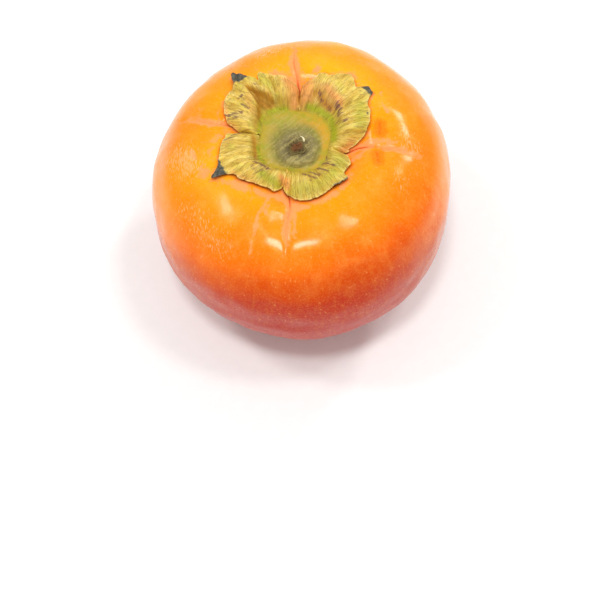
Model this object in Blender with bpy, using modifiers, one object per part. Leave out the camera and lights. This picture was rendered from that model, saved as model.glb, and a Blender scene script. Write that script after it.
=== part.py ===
"""A whole persimmon of the squat, tomato-shaped kind, as picked, standing on its blossom end.

Metres, +Z up. The origin is on the surface that the fruit stands on, under the middle of its outline.
The fruit itself is one solid. In the shallow basin on top of it sits the calyx, a thick disc with four
sepals round it, and in the disc's crown is the stub of the broken stem. As on most fruits that grew
against a branch, neither the calyx nor the stem is quite in the middle. Underneath, in the dimple of the
blossom end, is the dried tip of the flower's style. Azimuths are in degrees from +X towards +Y.
"""

from collections import namedtuple
from math import atan2, cos, degrees, exp, hypot, pi, radians, sin

import bmesh
import bpy

MM = 0.001

# The fruit's outline
FRUIT_RADIUS = 39.7 * MM
EQUATOR_HEIGHT = 32.0 * MM
SHOULDER_RISE = 25.8 * MM  # of the crest above the equator
UNDERSIDE_DROP = 33.2 * MM  # of the full curve; the surface cuts it off at EQUATOR_HEIGHT
SHOULDER_SQUARENESS = 2.9  # exponent of the superellipse above the equator, 2 being a plain ellipse
UNDERSIDE_SQUARENESS = 2.05
OVAL = 0.022  # share by which the plan is longer along OVAL_AZIMUTH
OVAL_AZIMUTH = 68
THREE_SIDED = 0.013
THREE_SIDED_AZIMUTH = 73

# The calyx's middle and the stem, from the fruit's axis
CALYX_X = -1.9 * MM
CALYX_Y = 2.3 * MM
STEM_X = -1.5 * MM
STEM_Y = -0.3 * MM

# The furrows that run out from between the sepals, by their azimuths at the calyx's middle
FURROWS = (97, 171, 257, 349)
FURROW_DEPTH = 1.3 * MM
FURROW_SPREAD = 11  # degrees
FURROW_MIDDLE = 20.0 * MM  # from the calyx's middle, where a furrow is deepest
FURROW_REACH = 9.0 * MM

# The basin that holds the calyx, and the dimple of the blossom end
BASIN_DEPTH = 5.4 * MM
BASIN_FLOOR_RADIUS = 10.8 * MM
BASIN_RIM_RADIUS = 21.5 * MM
DIMPLE_DEPTH = 2.2 * MM
DIMPLE_RADIUS = 5.2 * MM

# The calyx and the stem
GAP = 0.35 * MM  # between touching pieces
DISC_RADIUS = 10.0 * MM
DISC_SQUARENESS = 0.06  # share by which its four corners, under the sepals, stand out
DISC_CORNER_AZIMUTH = 128
DISC_THICKNESS = 1.1 * MM
CROWN_RADIUS = 3.6 * MM  # of its rim, from which it slopes down to the plate
CROWN_FOOT_RADIUS = 6.0 * MM
CROWN_HEIGHT = 1.9 * MM
SOCKET_RADIUS = 2.6 * MM
SOCKET_DEPTH = 0.9 * MM
STUB_RADIUS = 2.2 * MM
STUB_TOP_RADIUS = 1.6 * MM
STUB_HEIGHT = 1.6 * MM
SEPAL_THICKNESS = 0.8 * MM
SEPAL_CLEARANCE = 0.5 * MM  # over the fruit's skin
SEPAL_SPACING = 0.9 * MM  # between neighbouring sepals
STYLE_TIP_RADIUS = 1.0 * MM
STYLE_TIP_POINT_RADIUS = 0.3 * MM
STYLE_TIP_LENGTH = 1.4 * MM

# How finely the pieces are divided
FRUIT_SEGMENTS = 60
FRUIT_RINGS = 44
DISC_STEPS = 48
SEPAL_COLUMNS = 28
SEPAL_ROWS = 8
PLUG_SEGMENTS = 18

# outline runs from one notch to the other, as azimuth in degrees and reach in mm, both from the calyx's
# middle. The point that reaches furthest is the sepal's dried tip. lift is how far the blade bows up.
Sepal = namedtuple("Sepal", "name lift outline")
SEPALS = (
    Sepal(
        "sepal_back_right",
        0.9 * MM,
        (
            (-12, 12.6),
            (-4, 15.0),
            (5, 17.9),
            (20, 19.9),
            (30, 21.9),
            (36, 23.9),
            (42, 21.8),
            (53, 22.6),
            (62, 20.1),
            (72, 19.4),
            (80, 16.9),
            (86, 14.0),
        ),
    ),
    Sepal(
        "sepal_back_left",
        1.1 * MM,
        (
            (86, 13.6),
            (91, 16.7),
            (100, 18.6),
            (114, 20.6),
            (120, 19.0),
            (124, 21.4),
            (129, 25.0),
            (136, 21.6),
            (151, 20.7),
            (160, 19.0),
            (166, 16.6),
            (169, 13.6),
        ),
    ),
    Sepal(
        "sepal_front_left",
        0.7 * MM,
        (
            (169, 14.6),
            (174, 17.1),
            (187, 18.3),
            (202, 20.5),
            (210, 23.4),
            (214, 20.4),
            (222, 17.9),
            (236, 15.9),
            (257, 13.6),
        ),
    ),
    Sepal(
        "sepal_front_right",
        0.5 * MM,
        (
            (257, 13.4),
            (264, 15.4),
            (272, 17.6),
            (285, 18.3),
            (304, 16.7),
            (317, 17.1),
            (323, 15.5),
            (335, 15.0),
            (348, 12.6),
        ),
    ),
)


def smooth_step(x):
    """0 below 0, 1 above 1, and an even S between them."""
    x = min(max(x, 0.0), 1.0)
    return x * x * (3 - 2 * x)


def turn_between(a, b):
    """The angle from azimuth a to azimuth b, from -180 to 180 degrees."""
    return (b - a + 180) % 360 - 180


def polar(x, y):
    return hypot(x, y), degrees(atan2(y, x))


def level(radius, azimuth):
    return radius * cos(radians(azimuth)), radius * sin(radians(azimuth))


def plan_radius(azimuth):
    """The radius of the fruit's widest ring at this azimuth."""
    oval = OVAL * cos(radians(2 * (azimuth - OVAL_AZIMUTH)))
    three_sided = THREE_SIDED * cos(radians(3 * (azimuth - THREE_SIDED_AZIMUTH)))
    return FRUIT_RADIUS * (1 + oval + three_sided)


def share_out(x, y):
    """0 on the fruit's axis and 1 on its widest ring."""
    radius, azimuth = polar(x, y)
    return min(radius / plan_radius(azimuth), 1.0)


def furrow_depth(radius, azimuth):
    """How far the furrows lower the skin at this place round the calyx's middle."""
    across = sum(exp(-((turn_between(f, azimuth) / FURROW_SPREAD) ** 2)) for f in FURROWS)
    along = exp(-(((radius - FURROW_MIDDLE) / FURROW_REACH) ** 2))
    out_of_floor = smooth_step((radius - BASIN_FLOOR_RADIUS) / (5 * MM))
    return FURROW_DEPTH * across * along * out_of_floor


def basin_depth(radius):
    """How far the basin lowers the skin at this distance from the calyx's middle."""
    width = BASIN_RIM_RADIUS - BASIN_FLOOR_RADIUS
    return BASIN_DEPTH * (1 - smooth_step((radius - BASIN_FLOOR_RADIUS) / width))


def top_height(x, y):
    """The height of the fruit's upper skin."""
    n = SHOULDER_SQUARENESS
    dome = SHOULDER_RISE * (1 - share_out(x, y) ** n) ** (1 / n)
    radius, azimuth = polar(x - CALYX_X, y - CALYX_Y)
    return EQUATOR_HEIGHT + dome - basin_depth(radius) - furrow_depth(radius, azimuth)


def underside_height(x, y):
    """The height of the fruit's lower skin, flat where it stands, with a dimple in the middle."""
    n = UNDERSIDE_SQUARENESS
    bowl = EQUATOR_HEIGHT - UNDERSIDE_DROP * (1 - share_out(x, y) ** n) ** (1 / n)
    dimple = DIMPLE_DEPTH * max(0.0, 1 - (hypot(x, y) / DIMPLE_RADIUS) ** 2) ** 2
    return max(bowl, 0.0) + dimple


def disc_radius(azimuth):
    """The radius of the calyx's disc, a square with well rounded corners."""
    return DISC_RADIUS * (1 + DISC_SQUARENESS * cos(radians(4 * (azimuth - DISC_CORNER_AZIMUTH))))


def disc_bottom():
    return EQUATOR_HEIGHT + SHOULDER_RISE - BASIN_DEPTH + GAP


def skin_material(name, colour, roughness):
    material = bpy.data.materials.new(name)
    material.use_nodes = True
    shader = material.node_tree.nodes["Principled BSDF"]
    shader.inputs["Base Color"].default_value = (*colour, 1.0)
    shader.inputs["Roughness"].default_value = roughness
    shader.inputs["Metallic"].default_value = 0.0
    material.diffuse_color = (*colour, 1.0)
    return material


def add_object(name, bm, material, parent):
    """Makes a smooth object of a bmesh, in the parent's collection and under it."""
    mesh = bpy.data.meshes.new(name)
    bm.to_mesh(mesh)
    bm.free()
    mesh.materials.append(material)
    mesh.shade_smooth()
    obj = bpy.data.objects.new(name, mesh)
    obj.parent = parent
    parent.users_collection[0].objects.link(obj)
    return obj


def build_fruit(parent, material):
    """A sphere whose rings are moved onto the fruit's skin, closest together near the axis."""
    bm = bmesh.new()
    bmesh.ops.create_uvsphere(bm, u_segments=FRUIT_SEGMENTS, v_segments=FRUIT_RINGS, radius=1)
    for vert in bm.verts:
        distance, azimuth = polar(vert.co.x, vert.co.y)
        from_pole = atan2(distance, abs(vert.co.z))
        x, y = level(plan_radius(azimuth) * sin(from_pole), azimuth)
        height = top_height if vert.co.z > 0 else underside_height
        vert.co = (x, y, height(x, y))
    return add_object("fruit", bm, material, parent)


def build_disc(parent, material):
    """The calyx's thick middle: a plate, with a crown round the stem's socket.

    One profile is spun round, and each ring of it is then moved to its own middle, the stem for the crown
    and the calyx's middle for the plate's edge, and stretched from a circle to the disc's outline.
    """
    bottom = disc_bottom()
    top = bottom + DISC_THICKNESS
    crown = top + CROWN_HEIGHT
    profile = (
        (0.0, crown - SOCKET_DEPTH),
        (SOCKET_RADIUS, crown - SOCKET_DEPTH),
        (SOCKET_RADIUS + 0.4 * MM, crown - 0.2 * MM),
        (CROWN_RADIUS, crown),
        (CROWN_RADIUS + 0.4 * MM, crown - 0.3 * MM),
        (CROWN_FOOT_RADIUS - 0.5 * MM, top + 0.4 * MM),
        (CROWN_FOOT_RADIUS + 1.0 * MM, top),
        (DISC_RADIUS - 0.3 * MM, top),
        (DISC_RADIUS, top - 0.3 * MM),
        (DISC_RADIUS, bottom + 0.2 * MM),
        (DISC_RADIUS - 0.2 * MM, bottom),
        (0.0, bottom),
    )
    bm = bmesh.new()
    verts = [bm.verts.new((radius, 0.0, height)) for radius, height in profile]
    edges = [bm.edges.new(pair) for pair in zip(verts, verts[1:])]
    bmesh.ops.spin(
        bm,
        geom=verts + edges,
        cent=(0.0, 0.0, 0.0),
        axis=(0.0, 0.0, 1.0),
        angle=2 * pi,
        steps=DISC_STEPS,
        use_merge=True,
    )
    bmesh.ops.remove_doubles(bm, verts=bm.verts, dist=0.01 * MM)
    bmesh.ops.recalc_face_normals(bm, faces=bm.faces)
    for vert in bm.verts:
        radius, azimuth = polar(vert.co.x, vert.co.y)
        to_edge = smooth_step((radius - CROWN_RADIUS) / (DISC_RADIUS - 1 * MM - CROWN_RADIUS))
        stretch = 1 + (disc_radius(azimuth) / DISC_RADIUS - 1) * to_edge
        x, y = level(radius * stretch, azimuth)
        vert.co.x = x + STEM_X + (CALYX_X - STEM_X) * to_edge
        vert.co.y = y + STEM_Y + (CALYX_Y - STEM_Y) * to_edge
    return add_object("calyx_disc", bm, material, parent)


def sepal_reach(outline, azimuth):
    """How far the sepal reaches at this azimuth, on straight lines between the outline's points."""
    for (low, near), (high, far) in zip(outline, outline[1:]):
        if azimuth <= high:
            return (near + (far - near) * (azimuth - low) / (high - low)) * MM
    return outline[-1][1] * MM


def build_sepal(sepal, parent, material):
    """A grid laid over the basin's wall and the shoulder, then thickened upwards."""
    bm = bmesh.new()
    bmesh.ops.create_grid(bm, x_segments=SEPAL_COLUMNS, y_segments=SEPAL_ROWS, size=1)
    first, last = sepal.outline[0][0], sepal.outline[-1][0]
    for vert in bm.verts:
        across, out = -vert.co.x, (vert.co.y + 1) / 2
        azimuth = (first + last) / 2 + across * (last - first) / 2
        start = disc_radius(azimuth) + GAP
        radius = start + out * (sepal_reach(sepal.outline, azimuth) - start)
        azimuth -= across * degrees(SEPAL_SPACING / 2 / radius)
        x, y = level(radius, azimuth)
        x, y = x + CALYX_X, y + CALYX_Y
        lift = sepal.lift * smooth_step(out) * (1 - across**2)
        vert.co = (x, y, top_height(x, y) + SEPAL_CLEARANCE + lift)
    obj = add_object(sepal.name, bm, material, parent)
    blade = obj.modifiers.new("blade", "SOLIDIFY")
    blade.thickness = SEPAL_THICKNESS
    blade.offset = 1.0
    return obj


def build_plug(name, place, low, high, bottom_radius, top_radius, material, parent):
    """A tapered plug from height low to height high, over a place (x, y)."""
    bm = bmesh.new()
    bmesh.ops.create_cone(
        bm,
        cap_ends=True,
        segments=PLUG_SEGMENTS,
        radius1=bottom_radius,
        radius2=top_radius,
        depth=high - low,
    )
    bmesh.ops.translate(bm, verts=bm.verts, vec=(*place, (low + high) / 2))
    return add_object(name, bm, material, parent)


def build_stem_stub(parent, material):
    low = disc_bottom() + DISC_THICKNESS + CROWN_HEIGHT - SOCKET_DEPTH + GAP
    high = low + STUB_HEIGHT
    place = (STEM_X, STEM_Y)
    return build_plug("stem_stub", place, low, high, STUB_RADIUS, STUB_TOP_RADIUS, material, parent)


def build_style_tip(parent, material):
    high = underside_height(STYLE_TIP_RADIUS, 0.0) - GAP
    low = high - STYLE_TIP_LENGTH
    return build_plug(
        "style_tip", (0.0, 0.0), low, high, STYLE_TIP_POINT_RADIUS, STYLE_TIP_RADIUS, material, parent
    )


def centre_on_origin(parent, fruit):
    """Moves the whole persimmon sideways, so that the origin is under the middle of the fruit's outline."""
    xs = [vert.co.x for vert in fruit.data.vertices]
    ys = [vert.co.y for vert in fruit.data.vertices]
    parent.location = (-(min(xs) + max(xs)) / 2, -(min(ys) + max(ys)) / 2, 0.0)


def build_persimmon():
    for obj in list(bpy.data.objects):
        bpy.data.objects.remove(obj)
    collection = bpy.data.collections.new("persimmon")
    bpy.context.scene.collection.children.link(collection)
    persimmon = bpy.data.objects.new("persimmon", None)
    collection.objects.link(persimmon)

    waxy_skin = skin_material("waxy_skin", (0.93, 0.26, 0.01), 0.32)
    calyx_flesh = skin_material("calyx_flesh", (0.42, 0.38, 0.07), 0.6)
    sepal_leaf = skin_material("sepal_leaf", (0.62, 0.46, 0.08), 0.62)
    stem_wood = skin_material("stem_wood", (0.16, 0.08, 0.03), 0.85)
    dry_style = skin_material("dry_style", (0.03, 0.02, 0.015), 0.8)

    fruit = build_fruit(persimmon, waxy_skin)
    build_disc(persimmon, calyx_flesh)
    for sepal in SEPALS:
        build_sepal(sepal, persimmon, sepal_leaf)
    build_stem_stub(persimmon, stem_wood)
    build_style_tip(persimmon, dry_style)
    centre_on_origin(persimmon, fruit)


build_persimmon()
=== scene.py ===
"""The looks of a whole persimmon of the squat, tomato-shaped kind, on a pale studio floor.

Each piece of the fruit stands for one solid of the frame and lies in its place, and one torn fibre of the
stem is added. Lengths are in metres, and azimuths in degrees from +X towards +Y. Places on the calyx and
round it are given from the calyx's middle.
"""

from collections import namedtuple
from math import cos, pi, radians, sin

import bpy
import numpy as np
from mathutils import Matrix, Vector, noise


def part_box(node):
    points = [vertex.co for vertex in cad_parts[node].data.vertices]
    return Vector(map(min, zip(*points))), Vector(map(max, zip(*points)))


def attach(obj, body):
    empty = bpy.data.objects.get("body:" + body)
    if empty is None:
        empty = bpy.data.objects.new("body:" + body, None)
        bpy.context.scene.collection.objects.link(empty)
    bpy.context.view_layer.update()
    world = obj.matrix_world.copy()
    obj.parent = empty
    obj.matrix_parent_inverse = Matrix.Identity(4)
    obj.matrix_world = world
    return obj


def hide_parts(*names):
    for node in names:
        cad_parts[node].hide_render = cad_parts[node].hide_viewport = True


MM = 0.001

# The fruit's form. It is the frame's, but for the furrows, where the skin stands up to 0.6 mm higher, and
# the creases in them, where it lies up to 1.3 mm lower.
FRUIT_RADIUS = 39.7 * MM
EQUATOR_HEIGHT = 32.0 * MM
SHOULDER_RISE = 25.8 * MM
UNDERSIDE_DROP = 33.2 * MM
SHOULDER_SQUARENESS = 2.9  # exponent of the superellipse above the equator
UNDERSIDE_SQUARENESS = 2.05
OVAL = 0.022
OVAL_AZIMUTH = 68
THREE_SIDED = 0.013
THREE_SIDED_AZIMUTH = 73
CALYX_X = -1.9 * MM  # from the fruit's axis
CALYX_Y = 2.3 * MM
STEM_X = -1.5 * MM
STEM_Y = -0.3 * MM
BASIN_DEPTH = 5.4 * MM
BASIN_FLOOR_RADIUS = 10.8 * MM
BASIN_RIM_RADIUS = 21.5 * MM
DIMPLE_DEPTH = 2.2 * MM
DIMPLE_RADIUS = 5.2 * MM
FURROW_DEPTH = 0.85 * MM
FURROW_SPREAD = 11  # degrees
FURROW_MIDDLE = 20.0 * MM
FURROW_REACH = 7.2 * MM
FLANK_DEPTH = 0.5 * MM  # the lobes fall away towards the furrows
FLANK_SPREAD = 24

# The calyx's disc: a square with well rounded corners, that reaches out at the back
DISC_RADIUS = 10.0 * MM  # of the profile, before its edge is moved out to the mean radius
DISC_MEAN_RADIUS = 10.3 * MM
DISC_CORNERS = 0.05
DISC_CORNER_AZIMUTH = 128
DISC_BACK = 0.05
DISC_BACK_AZIMUTH = 110
DISC_THICKNESS = 1.1 * MM  # of its plate

# The crease at the bottom of each furrow, as (distance in mm, azimuth) from the notch between two sepals
# outwards
CREASES = (
    ((12, 86), (15, 87), (17, 89), (20, 90.4), (26, 90.7), (36, 90.4)),
    ((12, 166), (16, 162), (20, 164.2), (25, 164.8), (36, 164)),
    ((10, 253), (13, 259), (16, 264.4), (20, 265.6), (36, 265.6)),
    ((10, 349), (13.5, 351), (15.6, 354.5), (20, 354.4), (27, 353.4), (36, 351.5)),
)
CREASE_DEPTH = 0.6 * MM
CREASE_WIDTH = 0.5 * MM
# The dark line at a crease's bottom is painted shade
CREASE_LINE_WIDTH = 0.24 * MM  # of the dark line at its bottom
CREASE_BLOOM_WIDTH = 1.5 * MM  # of the bloom that handling doesn't reach, on either side

# How finely the fruit is divided, and how much closer its columns stand along the creases
FRUIT_COLUMNS = 440
FRUIT_RINGS = 200
CROWDING = 0.8
CROWDING_SPREAD = 9.0  # degrees
CALYX_CENTRED = 12 * MM  # rings up to this radius are centred on the calyx,
AXIS_CENTRED = 36 * MM  # and from this one on the fruit's axis

# The skin's own unevenness, as (height, size) in mm
SKIN_LUMPS = ((0.5, 16), (0.22, 5))

Fold = namedtuple("Fold", "height width path")
Mark = namedtuple("Mark", "kind strength width path")
Sepal = namedtuple("Sepal", "piece node lift tip_lift outline tip folds marks")

# Marks on the skin: bloom is the peach-pink haze of wax, clear is where it is wiped off, scuff is a rubbed
# patch with specks, and slit is a healed prick, which stands in a shallow pit and a soft bare spot. All
# paths are (azimuth, distance in mm) from the calyx's middle, and widths are in mm.
SKIN_MARKS = (
    Mark("bloom", 0.95, 2.9, ((73, 19.5), (88, 18.5), (103, 20.5))),
    Mark("bloom", 0.9, 1.8, ((212, 22.5), (230, 19), (246, 17.5), (258, 16.5))),
    Mark("bloom", 0.9, 1.5, ((264, 17.5), (275, 19.6), (292, 19.4), (308, 18.4), (322, 17.5))),
    Mark("bloom", 0.8, 2.0, ((334, 17.0), (345, 15.5), (352, 16.0))),
    Mark("bloom", 0.6, 1.8, ((158, 21.5), (172, 18.5), (190, 22.0))),
    Mark("bloom", 0.7, 1.6, ((188, 26.0), (196, 24.0), (204, 25.0))),
    Mark("bloom", 0.95, 0.6, ((249, 18.5), (247.3, 23.6), (249, 28.5), (250, 32.5))),
    Mark("bloom", 0.6, 0.5, ((252, 19.0), (251, 22.5))),
    Mark("bloom", 0.9, 0.7, ((262.3, 21.5), (263.6, 28.0))),
    Mark("bloom", 0.9, 0.6, ((269.4, 21.5), (269.6, 26.0))),
    Mark("bloom", 1.0, 0.9, ((257, 13.6), (260.1, 16.6))),
    Mark("bloom", 1.0, 0.9, ((270.0, 16.6), (270.5, 20.2))),
    Mark("bloom", 1.0, 1.0, ((350, 14), (354, 16), (353.7, 22.6), (352.7, 26), (353, 29))),
    Mark("bloom", 0.7, 0.6, ((32, 25.5), (25, 24.0), (18, 24.5))),
    Mark("bloom", 0.85, 1.5, ((352, 15.5), (358, 19.0), (358, 25.0))),
    Mark("scuff", 0.8, 4.5, ((186, 30.0), (194, 27.5))),
    Mark("scuff", 0.6, 3.0, ((357, 29.5), (2, 28.0))),
    Mark("scuff", 0.4, 2.5, ((334, 29.0), (340, 28.0))),
    Mark("scuff", 0.5, 4.0, ((214, 33.0), (236, 33.5))),
    Mark("scuff", 0.6, 3.5, ((100, 29.5), (108, 29.0))),
    Mark("clear", 0.9, 1.8, ((11.8, 22.0), (5.0, 22.4))),
    Mark("clear", 0.9, 1.9, ((349.1, 21.0), (339, 22.0))),
    Mark("clear", 0.8, 1.5, ((336, 18.0), (322, 20.5))),
    Mark("clear", 0.7, 1.4, ((30, 27.5), (40, 26.0))),
    Mark("clear", 0.7, 1.6, ((148, 25.0), (140, 26.5))),
    Mark("clear", 0.8, 1.3, ((180, 25.5), (192, 23.5))),
    Mark("clear", 0.8, 1.4, ((232, 23.5), (246, 21.5))),
    Mark("spot", 1.0, 1.9, ((10.4, 21.8), (5.6, 21.7))),
    Mark("spot", 1.0, 1.9, ((348.0, 21.2), (342.5, 21.8))),
    Mark("slit", 1.0, 0.3, ((11.8, 22.0), (4.4, 21.5))),
    Mark("slit", 1.0, 0.3, ((349.1, 21.0), (341.2, 22.0))),
)
PIT_DEPTH = 0.3 * MM
PIT_WIDTH = 1.6 * MM

# Bloom is kept beside the calyx, and painted shadow darkens the skin right under its margins
CALYX_BLOOM = 0.55
CALYX_BLOOM_WIDTH = 2.2 * MM
MARGIN_SHADE_WIDTH = 0.6 * MM

# Painted light leaves out the front: the flanks' haze, partly painted reflection, and the lighter low sides
FRONT_AZIMUTH = -88
FRONT_SPREAD = 62
FLANK_TOP = 50.5 * MM
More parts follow.
